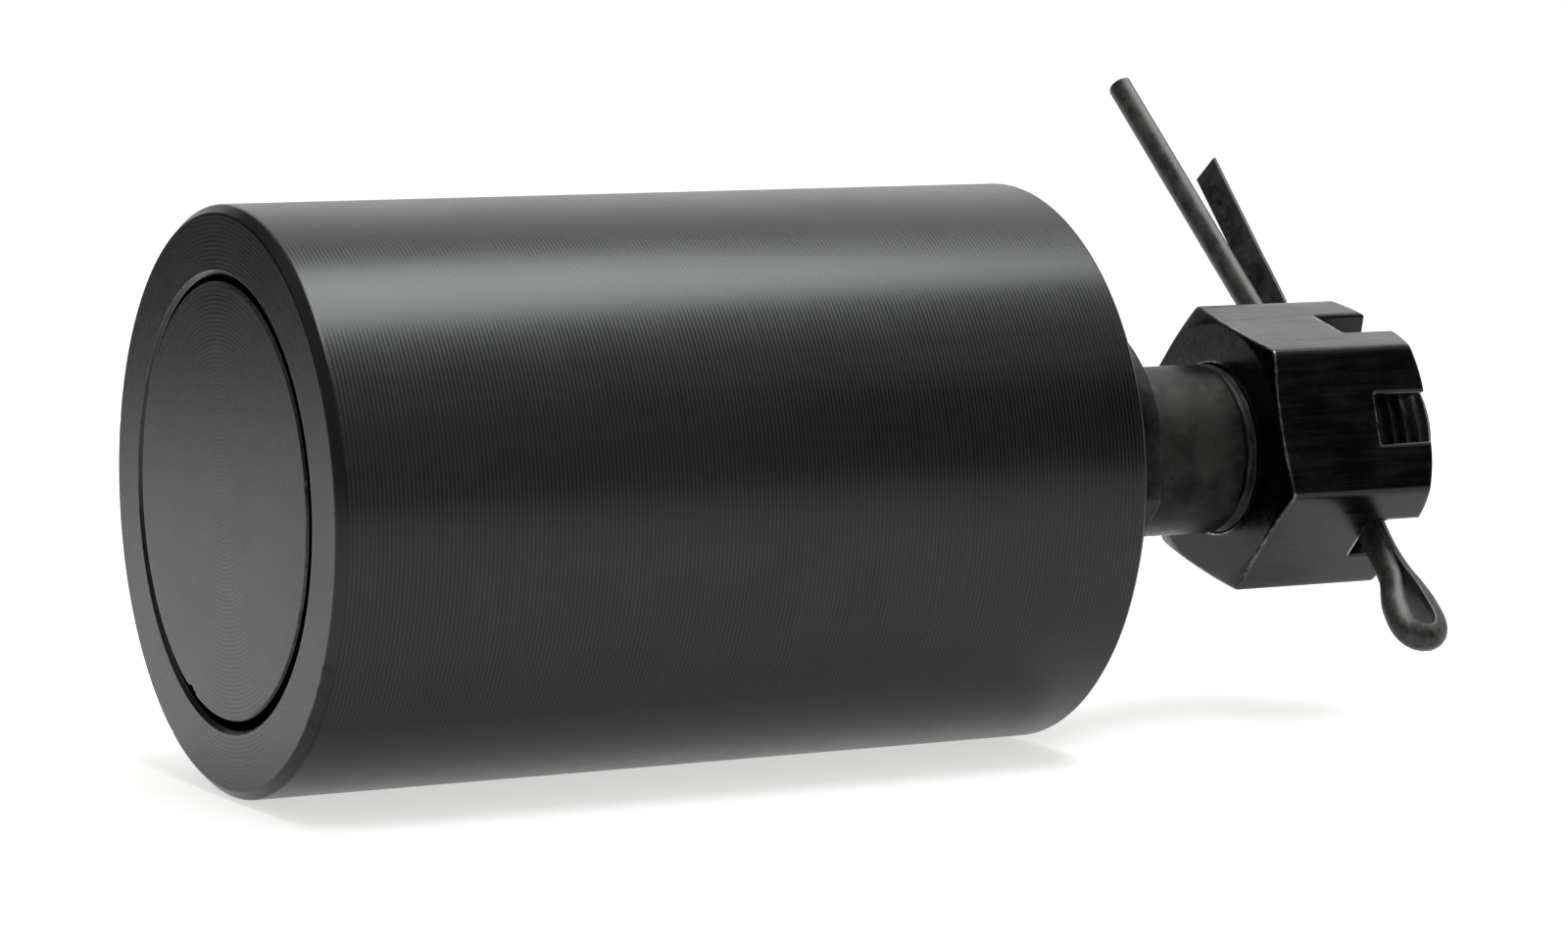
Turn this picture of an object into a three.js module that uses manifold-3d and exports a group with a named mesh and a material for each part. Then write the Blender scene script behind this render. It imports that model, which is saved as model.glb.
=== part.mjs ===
// Stud-mounted roller: a closed roller shell that turns on two ball bearings round a fixed, shouldered stud.
// The stud's threaded end carries a slotted hex nut, locked by a split pin.
//
// Millimetres. +X runs along the stud from the roller towards the nut, +Z is up.
// The origin is on the stud's axis, in the plane of the shoulder that seats against the bracket.

import * as THREE from 'three';
import { mergeVertices } from 'three/addons/utils/BufferGeometryUtils.js';
import Module from 'manifold-3d';

const wasm = await Module();
wasm.setup();

// ---- Driving dimensions ----------------------------------------------------------------------------------

const rollerDiameter = 50.8;
const rollerLength = 77;
const studDiameter = 15.875;
const gripLength = 13.4; // bracket thickness that fits between the shoulder and the nut
const studProud = 3.3; // threaded end beyond the nut
const studEndChamfer = 1;

// Shoulder of the stud
const collarDiameter = 26;
const collarProud = 9.5; // from the roller's inner end to the shoulder plane
const wrenchFlats = 22.2; // across the two flats on the shoulder

// Slotted nut
const nutAcrossFlats = 23.8;
const nutHeight = 16.8;
const nutSlotDepth = 6;
const nutSeatRise = 0.28; // axial rise of the seat side's chamfer for each mm of radius
const nutEndRise = 0.62; // the same on the slotted end
const nutAngle = 44.3; // degrees from +Y towards +Z, of the slot pair that holds the pin

// Split pin
const pinDiameter = 2.9;
const pinHoleClearance = 1.1; // on diameter, in the stud's cross hole
const pinSlotClearance = 1.8; // on width, in the nut's slots
const pinTilt = 1.55; // degrees, as it hangs in the hole
const pinLongLeg = 47.2; // from the stud's axis to the tip
const pinShortLeg = 35.7;
const pinLegGap = 0.1; // half of the slit between the closed legs
const pinLongSplay = 0.093; // sideways travel of the long leg for each mm beyond the stud
const pinShortSplay = 0.85; // how far the short leg stands off the centre line
const eyeLength = 10.1;
const eyeHalfWidth = 1.25; // inside the loop

// Ball bearings
const bearingDiameter = 35;
const bearingWidth = 11;
const ballDiameter = 5.95;
const ballCount = 8;
const raceShoulder = 2.3; // half of the radial gap between the two races
const shieldThickness = 0.6;
const shieldInset = 0.3;
const cageThickness = 1.9;
const cageSide = 0.7; // cage material beside each ball

// Roller shell and its closures
const frontChamfer = 0.75;
const rearChamfer = 0.4;
const capSeatWidth = 1.95; // radial step from the bearing bore to the cap's counterbore
const capDepth = 4.6;
const capGap = 0.75; // visible ring between the cap and the shell
const capMouthChamfer = 0.35;
const capSpigotLength = 4.4;
const capWall = 3.2;
const sealWidth = 4.6;
const sealInset = 0.5;
const boreStep = 1.9; // radial height of the shoulders that locate the outer races
const frontBearingInset = 13.5; // from the shell's front end to the front bearing
const ringThickness = 1.2;
const ringGap = 6; // opening of each retaining ring
const shellRingDepth = 0.95; // radial depth of the groove in the shell
const studRingDepth = 0.7; // radial depth of the groove in the stud
const ringHeight = 2.9;
const studTail = 4.2; // journal beyond the front bearing
const oRingSection = 1.4;

// Fits
const seatFit = 0.06; // radial gap of pieces that turn together
const runningFit = 0.2; // gap between pieces that turn past each other
const faceFit = 0.1; // axial gap of seated faces
const threadFit = 0.3; // radial gap that stands for the thread between stud and nut
const ballFit = 0.15;

// Facets round a full turn
const outerFacets = 60;
const innerFacets = 36;

// ---- Places worked out from the sizes --------------------------------------------------------------------

const rollerRadius = rollerDiameter / 2;
const studRadius = studDiameter / 2;
const bearingRadius = bearingDiameter / 2;
const collarRadius = collarDiameter / 2;
const boreRadius = bearingRadius + seatFit;

const shellRear = -collarProud;
const shellFront = shellRear - rollerLength;

const sealRear = shellRear - sealInset;
const sealFront = sealRear - sealWidth;
const collarEnd = sealFront + faceFit;
const rearBearingFace = sealFront - 0.5;
const rearBearingEnd = rearBearingFace - bearingWidth;
const frontBearingEnd = shellFront + frontBearingInset;
const frontBearingFace = frontBearingEnd + bearingWidth;

const capSeat = shellFront + capDepth;
const counterboreRadius = bearingRadius + capSeatWidth;
const studInnerEnd = frontBearingEnd - studTail;

const nutSeat = gripLength;
const nutEnd = nutSeat + nutHeight;
const nutApothem = nutAcrossFlats / 2;
const nutBoreRadius = studRadius + threadFit;
const slotBottom = nutEnd - nutSlotDepth;
const studEnd = nutEnd + studProud;

const pinRadius = pinDiameter / 2;
const pinHoleDiameter = pinDiameter + pinHoleClearance;
const nutSlotWidth = pinDiameter + pinSlotClearance;
const pinPlace = slotBottom + pinHoleDiameter / 2 + 0.3;

const pitchRadius = (studRadius + bearingRadius) / 2;
const ballRadius = ballDiameter / 2;
const innerLand = pitchRadius - raceShoulder;
const outerLand = pitchRadius + raceShoulder;

// ---- Solids ----------------------------------------------------------------------------------------------

// Keep only positions, share the corners and face every triangle outwards.
function closedMesh(geometry) {
  const bare = geometry.index ? geometry.toNonIndexed() : geometry.clone();
  bare.deleteAttribute('normal');
  bare.deleteAttribute('uv');
  const merged = mergeVertices(bare, 1e-5);
  const position = merged.attributes.position;
  const corner = [new THREE.Vector3(), new THREE.Vector3(), new THREE.Vector3()];
  const kept = [];
  let volume = 0;
  for (let i = 0; i < merged.index.count; i += 3) {
    const triangle = [0, 1, 2].map((k) => merged.index.getX(i + k));
    if (new Set(triangle).size < 3) continue;
    triangle.forEach((vertex, k) => corner[k].fromBufferAttribute(position, vertex));
    volume += corner[0].dot(corner[1].clone().cross(corner[2]));
    kept.push(...triangle);
  }
  if (volume < 0) kept.reverse();
  merged.setIndex(kept);
  return merged;
}

function toSolid(geometry) {
  const mesh = closedMesh(geometry);
  return new wasm.Manifold(new wasm.Mesh({
    numProp: 3,
    vertProperties: new Float32Array(mesh.attributes.position.array),
    triVerts: new Uint32Array(mesh.index.array),
  }));
}

function fromSolid(solid) {
  const mesh = solid.getMesh();
  const geometry = new THREE.BufferGeometry();
  geometry.setAttribute('position', new THREE.Float32BufferAttribute(mesh.vertProperties, 3));
  geometry.setIndex(Array.from(mesh.triVerts));
  return geometry;
}

function cut(geometry, ...tools) {
  return fromSolid(tools.reduce((solid, tool) => solid.subtract(toSolid(tool)), toSolid(geometry)));
}

// Turn a closed outline of [x, radius] pairs about the X axis.
function turned(outline, facets = innerFacets) {
  const points = [...outline, outline[0]].map(([x, radius]) => new THREE.Vector2(radius, x));
  return new THREE.LatheGeometry(points, facets).rotateZ(-Math.PI / 2);
}

function ring(xLow, xHigh, innerRadius, outerRadius, facets = innerFacets) {
  return turned([[xLow, innerRadius], [xHigh, innerRadius], [xHigh, outerRadius], [xLow, outerRadius]], facets);
}

// A box with its centre at distance `out` from the axis, along the direction `angle` in the YZ plane.
function radialBox(xLow, xHigh, out, radialSize, width, angle) {
  const box = new THREE.BoxGeometry(xHigh - xLow, radialSize, width);
  box.translate((xLow + xHigh) / 2, out, 0);
  return box.rotateX(THREE.MathUtils.degToRad(angle));
}

// ---- Shell, cap and seal ---------------------------------------------------------------------------------

function shell() {
  const stepRadius = bearingRadius - boreStep;
  const grooveFront = frontBearingEnd - faceFit - ringThickness - 2 * faceFit;
  const grooveRadius = boreRadius + shellRingDepth;
  return turned([
    [shellFront, counterboreRadius + capMouthChamfer],
    [shellFront, rollerRadius - frontChamfer],
    [shellFront + frontChamfer, rollerRadius],
    [shellRear - rearChamfer, rollerRadius],
    [shellRear, rollerRadius - rearChamfer],
    [shellRear, boreRadius],
    [rearBearingEnd - faceFit, boreRadius],
    [rearBearingEnd - faceFit, stepRadius],
    [frontBearingFace + faceFit, stepRadius],
    [frontBearingFace + faceFit, boreRadius],
    [frontBearingEnd - faceFit, boreRadius],
    [frontBearingEnd - faceFit, grooveRadius],
    [grooveFront, grooveRadius],
    [grooveFront, boreRadius],
    [capSeat, boreRadius],
    [capSeat, counterboreRadius],
    [shellFront + capMouthChamfer, counterboreRadius],
  ], outerFacets);
}

const oRingRadius = boreRadius - seatFit - oRingSection / 2;

function cap() {
  const discRadius = counterboreRadius - capGap;
  const spigotRadius = boreRadius - 0.2;
  const spigotEnd = capSeat + capSpigotLength;
  const grooveMiddle = capSeat + capSpigotLength / 2;
  const grooveHalf = oRingSection / 2 + 0.2;
  const grooveRadius = oRingRadius - oRingSection / 2 - seatFit;
  const discBack = capSeat - faceFit;
  return turned([
    [shellFront, 0],
    [shellFront, discRadius - 0.2],
    [shellFront + 0.2, discRadius],
    [discBack, discRadius],
    [discBack, spigotRadius],
    [grooveMiddle - grooveHalf, spigotRadius],
    [grooveMiddle - grooveHalf, grooveRadius],
    [grooveMiddle + grooveHalf, grooveRadius],
    [grooveMiddle + grooveHalf, spigotRadius],
    [spigotEnd, spigotRadius],
    [spigotEnd, grooveRadius - 2],
    [shellFront + capWall, grooveRadius - 2],
    [shellFront + capWall, 0],
  ], outerFacets);
}

function capORing() {
  const section = [];
  for (let i = 0; i < 8; i += 1) {
    const turn = (i + 0.5) * Math.PI / 4;
    const x = capSeat + capSpigotLength / 2 + Math.cos(turn) * oRingSection / 2;
    section.push([x, oRingRadius + Math.sin(turn) * oRingSection / 2]);
  }
  return turned(section);
}

// A rubber ring with a lip that runs on the shoulder's round part.
function seal() {
  const lipRadius = collarRadius + runningFit;
  const outerRadius = boreRadius - seatFit;
  return turned([
    [sealRear, outerRadius],
    [sealRear, lipRadius + 0.6],
    [sealRear - 0.8, lipRadius],
    [sealRear - 1.8, lipRadius],
    [sealRear - 2.4, lipRadius + 1.4],
    [sealFront, lipRadius + 1.4],
    [sealFront, outerRadius],
  ]);
}

// ---- Stud and its fastenings -----------------------------------------------------------------------------

const studGrooveEnd = frontBearingEnd - faceFit;
const studGrooveFront = studGrooveEnd - ringThickness - 2 * faceFit;

function stud() {
  const innerChamfer = 1.2;
  const edge = 0.35;
  const abutment = innerLand - 0.1;
  const body = turned([
    [studInnerEnd, 0],
    [studInnerEnd, studRadius - innerChamfer],
    [studInnerEnd + innerChamfer, studRadius],
    [studGrooveFront, studRadius],
    [studGrooveFront, studRadius - studRingDepth],
    [studGrooveEnd, studRadius - studRingDepth],
    [studGrooveEnd, studRadius],
    [rearBearingFace + faceFit, studRadius],
    [rearBearingFace + faceFit, abutment],
    [collarEnd, abutment],
    [collarEnd, collarRadius],
    [-edge, collarRadius],
    [0, collarRadius - edge],
    [0, studRadius],
    [studEnd - studEndChamfer, studRadius],
    [studEnd, studRadius - studEndChamfer],
    [studEnd, 0],
  ]);
  const flatTools = [nutAngle, nutAngle + 180].map((angle) => (
    radialBox(shellRear + 1, 5, wrenchFlats / 2 + 5, 10, 40, angle)
  ));
  const pinHole = new THREE.CylinderGeometry(pinHoleDiameter / 2, pinHoleDiameter / 2, 4 * studRadius, 16);
  pinHole.rotateX(THREE.MathUtils.degToRad(nutAngle)).translate(pinPlace, 0, 0);
  return cut(body, ...flatTools, pinHole);
}

function spacer() {
  return ring(frontBearingFace + faceFit, rearBearingEnd - faceFit, studRadius + seatFit, innerLand - 0.2);
}

// An open ring for a groove: the gap faces up.
function retainingRing(innerRadius, outerRadius, grooveEnd) {
  const high = grooveEnd - faceFit;
  const body = ring(high - ringThickness, high, innerRadius, outerRadius);
  return cut(body, radialBox(high - ringThickness - 1, high + 1, outerRadius, 2 * ringHeight + 3, ringGap, 90));
}

function shellRing() {
  const outerRadius = boreRadius + shellRingDepth - runningFit;
  return retainingRing(outerRadius - ringHeight, outerRadius, frontBearingEnd - faceFit);
}

function studRing() {
  const innerRadius = studRadius - studRingDepth + seatFit;
  return retainingRing(innerRadius, innerRadius + ringHeight, studGrooveEnd);
}

// Hexagonal prism, turned down by a cone at both ends and slotted across its flats from the outer end.
function slottedNut() {
  const cornerRadius = nutApothem / Math.cos(Math.PI / 6);
  const reach = cornerRadius - nutApothem;
  const boreChamfer = 0.25;
  const outline = turned([
    [nutSeat, nutBoreRadius + boreChamfer],
    [nutSeat, nutApothem],
    [nutSeat + reach * nutSeatRise, cornerRadius],
    [nutEnd - reach * nutEndRise, cornerRadius],
    [nutEnd, nutApothem],
    [nutEnd, nutBoreRadius + boreChamfer],
    [nutEnd - boreChamfer, nutBoreRadius],
    [nutSeat + boreChamfer, nutBoreRadius],
  ]);
  const flats = [];
  const slots = [];
  for (let side = 0; side < 6; side += 1) {
    const angle = nutAngle + side * 60;
    flats.push(radialBox(nutSeat - 1, nutEnd + 1, nutApothem + 5, 10, 4 * cornerRadius, angle));
    const slotOut = (nutApothem + nutBoreRadius) / 2;
    slots.push(radialBox(slotBottom, nutEnd + 1, slotOut, nutApothem, nutSlotWidth, angle));
  }
  return cut(outline, ...flats, ...slots);
}

// Outline of the pin's wire seen from the side: [distance along the pin, distance from its centre line],
// from the tip of the long leg round the eye to the tip of the short leg, along the wire's flat face.
function pinOutline() {
  const bend = studRadius + 0.6;
  const neck = -(nutApothem + 3.2);
  const eyeEnd = neck - eyeLength + pinRadius;
  const eyeMiddle = neck - eyeLength * 0.52;
  const longOffset = (along) => -pinLegGap - pinLongSplay * (along - bend);
  const side = (sign) => [
    [neck, sign * pinLegGap],
    [neck - 1.6, sign * 0.35],
    [neck - 3.2, sign * 0.95],
    [eyeMiddle, sign * eyeHalfWidth],
    [eyeEnd + 1.6, sign * eyeHalfWidth * 0.86],
    [eyeEnd + 0.5, sign * eyeHalfWidth * 0.5],
  ];
  return [
    [pinLongLeg, longOffset(pinLongLeg)],
    [bend + 18, longOffset(bend + 18)],
    [bend + 3, longOffset(bend + 3)],
    [bend - 2, -pinLegGap],
    ...side(-1),
    [eyeEnd, 0],
    ...side(1).reverse(),
    [bend - 2, pinLegGap],
    [bend + 3, pinLegGap + pinShortSplay * 0.45],
    [bend + 8, pinShortSplay + pinLegGap],
    [pinShortLeg, pinShortSplay + pinLegGap],
  ];
}

// Sweep the half-round wire along its outline. The flat face is on the inside of the loop.
function splitPin() {
  const line = pinOutline().map(([along, across]) => new THREE.Vector3(across, along, 0));
  const arcSteps = 6;
  const section = [];
  for (let i = 0; i <= arcSteps; i += 1) {
    const turn = -Math.PI / 2 + (Math.PI * i) / arcSteps;
    section.push([pinRadius * Math.cos(turn), pinRadius * Math.sin(turn)]);
  }
  const vertices = [];
  line.forEach((point, i) => {
    const before = line[Math.max(i - 1, 0)];
    const after = line[Math.min(i + 1, line.length - 1)];
    const travel = after.clone().sub(before).normalize();
    const outward = new THREE.Vector3(travel.y, -travel.x, 0);
    for (const [out, up] of section) {
      vertices.push(point.x + outward.x * out, point.y + outward.y * out, up);
    }
  });
  const size = section.length;
  const faces = [];
  for (let i = 0; i + 1 < line.length; i += 1) {
    for (let k = 0; k < size; k += 1) {
      const a = i * size + k;
      const b = i * size + ((k + 1) % size);
      faces.push(a, b, a + size, b, b + size, a + size);
    }
  }
  const last = (line.length - 1) * size;
  for (let k = 1; k + 1 < size; k += 1) {
    faces.push(0, k + 1, k, last, last + k, last + k + 1);
  }
  const geometry = new THREE.BufferGeometry();
  geometry.setAttribute('position', new THREE.Float32BufferAttribute(vertices, 3));
  geometry.setIndex(faces);
  geometry.rotateZ(THREE.MathUtils.degToRad(-pinTilt));
  geometry.rotateX(THREE.MathUtils.degToRad(nutAngle));
  return geometry.translate(pinPlace, 0, 0);
}

// ---- Ball bearing ----------------------------------------------------------------------------------------

// Groove of a race as [x, radius] pairs; sign is -1 on the inner race and +1 on the outer one.
function groove(middle, landRadius, sign) {
  const grooveRadius = ballRadius + ballFit;
  const reach = Math.acos((sign * (landRadius - pitchRadius)) / grooveRadius);
  const steps = 3;
  const points = [];
  for (let i = 0; i <= steps; i += 1) {
    const turn = -reach + (2 * reach * i) / steps;
    points.push([middle + grooveRadius * Math.sin(turn), pitchRadius + sign * grooveRadius * Math.cos(turn)]);
  }
  return points;
}

function innerRace(middle) {
  const half = bearingWidth / 2;
  const bore = studRadius + seatFit;
  return turned([
    [middle - half, bore],
    [middle - half, innerLand],
    ...groove(middle, innerLand, -1),
    [middle + half, innerLand],
    [middle + half, bore],
  ]);
}

function outerRace(middle) {
  const half = bearingWidth / 2;
  return turned([
    [middle - half, bearingRadius],
    [middle - half, outerLand],
    ...groove(middle, outerLand, 1),
    [middle + half, outerLand],
    [middle + half, bearingRadius],
  ]);
}

function ballCentre(middle, index) {
  const turn = (2 * Math.PI * index) / ballCount;
  return [middle, pitchRadius * Math.cos(turn), pitchRadius * Math.sin(turn)];
}

function ball(middle, index) {
  return new THREE.SphereGeometry(ballRadius, 10, 6).translate(...ballCentre(middle, index));
}

function cage(middle) {
  const half = ballRadius + cageSide;
  const body = ring(middle - half, middle + half, pitchRadius - cageThickness / 2, pitchRadius + cageThickness / 2);
  const pockets = [];
  for (let index = 0; index < ballCount; index += 1) {
    pockets.push(new THREE.SphereGeometry(ballRadius + ballFit, 10, 6).translate(...ballCentre(middle, index)));
  }
  return cut(body, ...pockets);
}

function shield(middle, side) {
  const outer = middle + side * (bearingWidth / 2 - shieldInset);
  const inner = outer - side * shieldThickness;
  return ring(Math.min(inner, outer), Math.max(inner, outer), innerLand + runningFit, outerLand - seatFit);
}

// ---- Assembly --------------------------------------------------------------------------------------------

const finishes = {
  blackOxide: { color: 0x3a3d3c, roughness: 0.42, metalness: 0.85 },
  phosphate: { color: 0x4a4a47, roughness: 0.55, metalness: 0.8 },
  zincGrey: { color: 0x60625f, roughness: 0.5, metalness: 0.85 },
  bearingSteel: { color: 0xb9bcbe, roughness: 0.2, metalness: 1 },
  springSteel: { color: 0x44464a, roughness: 0.45, metalness: 0.9 },
  brass: { color: 0xb58a45, roughness: 0.4, metalness: 0.9 },
  rubber: { color: 0x191919, roughness: 0.85, metalness: 0 },
};

const group = new THREE.Group();

function addPiece(name, geometry, finish) {
  const piece = new THREE.Mesh(closedMesh(geometry), new THREE.MeshStandardMaterial(finishes[finish]));
  piece.name = name;
  group.add(piece);
}

function addBearing(place, middle) {
  addPiece(`${place}_bearing_inner_race`, innerRace(middle), 'bearingSteel');
  addPiece(`${place}_bearing_outer_race`, outerRace(middle), 'bearingSteel');
  addPiece(`${place}_bearing_cage`, cage(middle), 'brass');
  for (let index = 0; index < ballCount; index += 1) {
    addPiece(`${place}_ball_${index + 1}`, ball(middle, index), 'bearingSteel');
  }
  addPiece(`${place}_shield_front`, shield(middle, -1), 'springSteel');
  addPiece(`${place}_shield_rear`, shield(middle, 1), 'springSteel');
}

addPiece('roller_shell', shell(), 'blackOxide');
addPiece('end_cap', cap(), 'blackOxide');
addPiece('cap_o_ring', capORing(), 'rubber');
addPiece('shell_retaining_ring', shellRing(), 'springSteel');
addPiece('rear_seal', seal(), 'rubber');
addPiece('stud', stud(), 'phosphate');
addPiece('stud_retaining_ring', studRing(), 'springSteel');
addPiece('bearing_spacer', spacer(), 'zincGrey');
addPiece('slotted_nut', slottedNut(), 'blackOxide');
addPiece('split_pin', splitPin(), 'zincGrey');
addBearing('front', (frontBearingFace + frontBearingEnd) / 2);
addBearing('rear', (rearBearingFace + rearBearingEnd) / 2);

export default group;
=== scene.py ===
"""Looks of the stud-mounted roller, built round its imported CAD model.

Blender works in metres. The sizes below are millimetres, as in the CAD source, and are scaled when a
mesh is made. +X runs along the stud from the roller to the nut and +Z is up. Angles run from +Y
towards +Z.
"""

import math

import bmesh
import bpy
import numpy as np
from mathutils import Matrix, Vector


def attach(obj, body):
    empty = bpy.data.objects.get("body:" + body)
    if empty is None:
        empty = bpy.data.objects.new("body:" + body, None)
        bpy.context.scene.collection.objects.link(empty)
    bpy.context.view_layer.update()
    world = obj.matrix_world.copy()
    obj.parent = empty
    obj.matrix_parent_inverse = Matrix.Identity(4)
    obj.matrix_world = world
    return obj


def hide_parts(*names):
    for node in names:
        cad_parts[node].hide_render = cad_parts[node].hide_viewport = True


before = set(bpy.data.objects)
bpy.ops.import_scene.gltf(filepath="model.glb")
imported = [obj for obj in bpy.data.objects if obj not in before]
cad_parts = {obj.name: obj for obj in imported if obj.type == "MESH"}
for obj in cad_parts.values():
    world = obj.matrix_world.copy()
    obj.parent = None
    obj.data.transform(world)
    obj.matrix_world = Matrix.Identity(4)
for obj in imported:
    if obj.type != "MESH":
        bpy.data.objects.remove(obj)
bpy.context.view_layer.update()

MM = 0.001

# ---- Sizes, as in the CAD source -----------------------------------------------------------------

ROLLER_RADIUS = 25.4
SHELL_FRONT = -86.5
SHELL_REAR = -9.5
FRONT_CHAMFER = 0.75
REAR_CHAMFER = 0.4
BORE_RADIUS = 17.56
STEP_RADIUS = 15.6
COUNTERBORE_RADIUS = 19.45
MOUTH_CHAMFER = 0.35
FACE_FIT = 0.1
SEAT_FIT = 0.06
RING_GROOVE = (-74.5, -73.1)  # both retaining rings lie between these places
SHELL_RING_DEPTH = 0.95
STUD_RING_DEPTH = 0.7
CAP_SEAT = -81.9
CAP_RADIUS = 18.78
SPIGOT_RADIUS = 17.36
SPIGOT_END = -77.5
CAP_WALL = 3.2
CAP_CHAMFER = 0.18
CAP_HOLLOW_RADIUS = 14.04
CAP_SHIFT = (0, 0.09, 0.1)  # the cap sits a little off centre, so the dark gap round it is uneven
O_RING_SECTION = 1.4
O_RING_RADIUS = 16.8
O_RING_GROOVE_RADIUS = 16.04
O_RING_GROOVE_HALF = 0.9
SEAL_ENDS = (-14.6, -10.0)

STUD_RADIUS = 7.9375
COLLAR_RADIUS = 13.0
COLLAR_START = -14.5
FLAT_START = -8.5
FLAT_HALF = 11.1
STUD_START = -77.2
STUD_START_CHAMFER = 1.2
STUD_END = 33.5
STUD_END_CHAMFER = 1.0
THREAD_START = 11.7
THREAD_PITCH = 1.411
THREAD_DEPTH = 0.65
LAST_CREST = 31.45  # where the thread's crest crosses the slot opposite +Y

NUT_ANGLE = math.radians(44.3)
NUT_SEAT = 13.4
NUT_END = 30.2
NUT_APOTHEM = 11.9
NUT_BORE = 8.24
NUT_SEAT_RISE = 0.28
NUT_END_RISE = 0.62
NUT_MOUTH_CHAMFER = 0.25
SLOT_BOTTOM = 24.2
SLOT_HALF = 2.35

PIN_RADIUS = 1.45
PIN_HOLE_RADIUS = 2.0
PIN_PLACE = 26.5
PIN_TILT = math.radians(1.55)
SHORT_LEG_TWIST = math.radians(-22)

REAR_BEARING = (-26.1, -15.1)
FRONT_BEARING = (-73.0, -62.0)
BEARING_RADIUS = 17.5
BEARING_BORE = 7.9975
PITCH_RADIUS = 12.71875
INNER_LAND = 10.41875
OUTER_LAND = 15.01875
BALL_RADIUS = 2.975
GROOVE_RADIUS = 3.125
BALL_COUNT = 8


# ---- Mesh building -------------------------------------------------------------------------------


def add_piece(name, vertices, faces, look, body, nodes, sharp=38):
    """Make a smooth-shaded mesh from millimetre vertices and give it its body, slot and CAD nodes."""
    mesh = bpy.data.meshes.new(name)
    mesh.from_pydata([tuple(v) for v in np.asarray(vertices, float) * MM], [], faces)
    clean(mesh)
    mesh.polygons.foreach_set("use_smooth", [True] * len(mesh.polygons))
    mesh.set_sharp_from_angle(angle=math.radians(sharp))
    piece = bpy.data.objects.new(name, mesh)
    bpy.context.scene.collection.objects.link(piece)
    mesh.materials.append(look)
    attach(piece, body)
    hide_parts(*nodes)
    return piece


def clean(mesh):
    """Merge doubled vertices, drop empty faces and face every polygon outwards."""
    work = bmesh.new()
    work.from_mesh(mesh)
    bmesh.ops.remove_doubles(work, verts=work.verts, dist=2e-7)
    bmesh.ops.dissolve_degenerate(work, edges=work.edges, dist=1e-8)
    bmesh.ops.recalc_face_normals(work, faces=work.faces)
    work.to_mesh(mesh)
    work.free()
    mesh.update()


def even_angles(count):
    return np.arange(count) * 2 * math.pi / count


def with_angles(count, centres, offsets_deg):
    """Even angles plus extra ones close to the given centres, so that an edge there is crisp."""
    extra = [c + side * math.radians(o) for c in centres for o in offsets_deg for side in (-1, 1)]
    together = np.unique(np.round(np.mod(np.concatenate([even_angles(count), extra]), 2 * math.pi), 7))
    keep = np.concatenate([[True], np.diff(together) > 1e-4])
    return together[keep]


def sheet_faces(rows, columns, closed):
    """Quads of a grid that wraps round its columns and, if closed, its rows."""
    faces = []
    for i in range(rows if closed else rows - 1):
        low, high = i * columns, ((i + 1) % rows) * columns
        for j in range(columns):
            k = (j + 1) % columns
            faces.append((low + j, low + k, high + k, high + j))
    return faces


def turned(outline, angles, closed=True, radius=None):
    """Vertices and faces of an outline of (x, radius) points turned about the X axis."""
    x = np.array([p[0] for p in outline], float)[:, None]
    r = np.array([p[1] for p in outline], float)[:, None]
    turn = np.asarray(angles)[None, :]
    spun = radius(x, r, turn) if radius else r + 0 * turn
    grid = np.stack([x + 0 * spun, spun * np.cos(turn), spun * np.sin(turn)], axis=2)
    return grid.reshape(-1, 3), sheet_faces(len(outline), len(angles), closed)


def rounded(corners, closed=True, steps=4, guard=0.1):
    """Turn (x, radius, fillet) corners into a line with arcs, with guard points to keep long faces flat."""
    line = []
    count = len(corners)
    for i, (x, r, fillet) in enumerate(corners):
        here = np.array([x, r], float)
        if fillet == 0 or (not closed and i in (0, count - 1)):
            line.append((x, r))
            continue
        before = np.array(corners[i - 1][:2], float) - here
        after = np.array(corners[(i + 1) % count][:2], float) - here
        before_way, after_way = before / np.linalg.norm(before), after / np.linalg.norm(after)
        half = math.acos(float(np.clip(before_way @ after_way, -1, 1))) / 2
        reach = fillet / math.tan(half)
        inward = (before_way + after_way) / np.linalg.norm(before_way + after_way)
        middle = here + inward * fillet / math.sin(half)
        start, end = here + before_way * reach, here + after_way * reach
        line.append(tuple(start + before_way * min(guard, 0.3 * (np.linalg.norm(before) - reach))))
        for step in range(steps + 1):
            blend = start + (end - start) * step / steps - middle
            line.append(tuple(middle + blend / np.linalg.norm(blend) * fillet))
        line.append(tuple(end + after_way * min(guard, 0.3 * (np.linalg.norm(after) - reach))))
    return line


def soft_least(*values, width):
    """Smooth minimum of arrays: rounds the edge where two surfaces meet."""
    return -width * np.log(sum(np.exp(-(v - values[0]) / width) for v in values)) + values[0]


def thread_form(x, turn, start):
    """0 on the crest and 1 in the root of a single-start thread, fading in from start."""
    crest_turn = NUT_ANGLE + 2 * math.pi / 3
    phase = np.mod((x - LAST_CREST) / THREAD_PITCH - (turn - crest_turn) / (2 * math.pi), 1)
    steepness, crest_width, run_in = 2.6, 0.15, 1.2
    slope = np.clip((0.5 - np.abs(phase - 0.5)) * steepness - crest_width, 0, 1)
    return slope * np.clip((x - start) / run_in, 0, 1)


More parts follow.
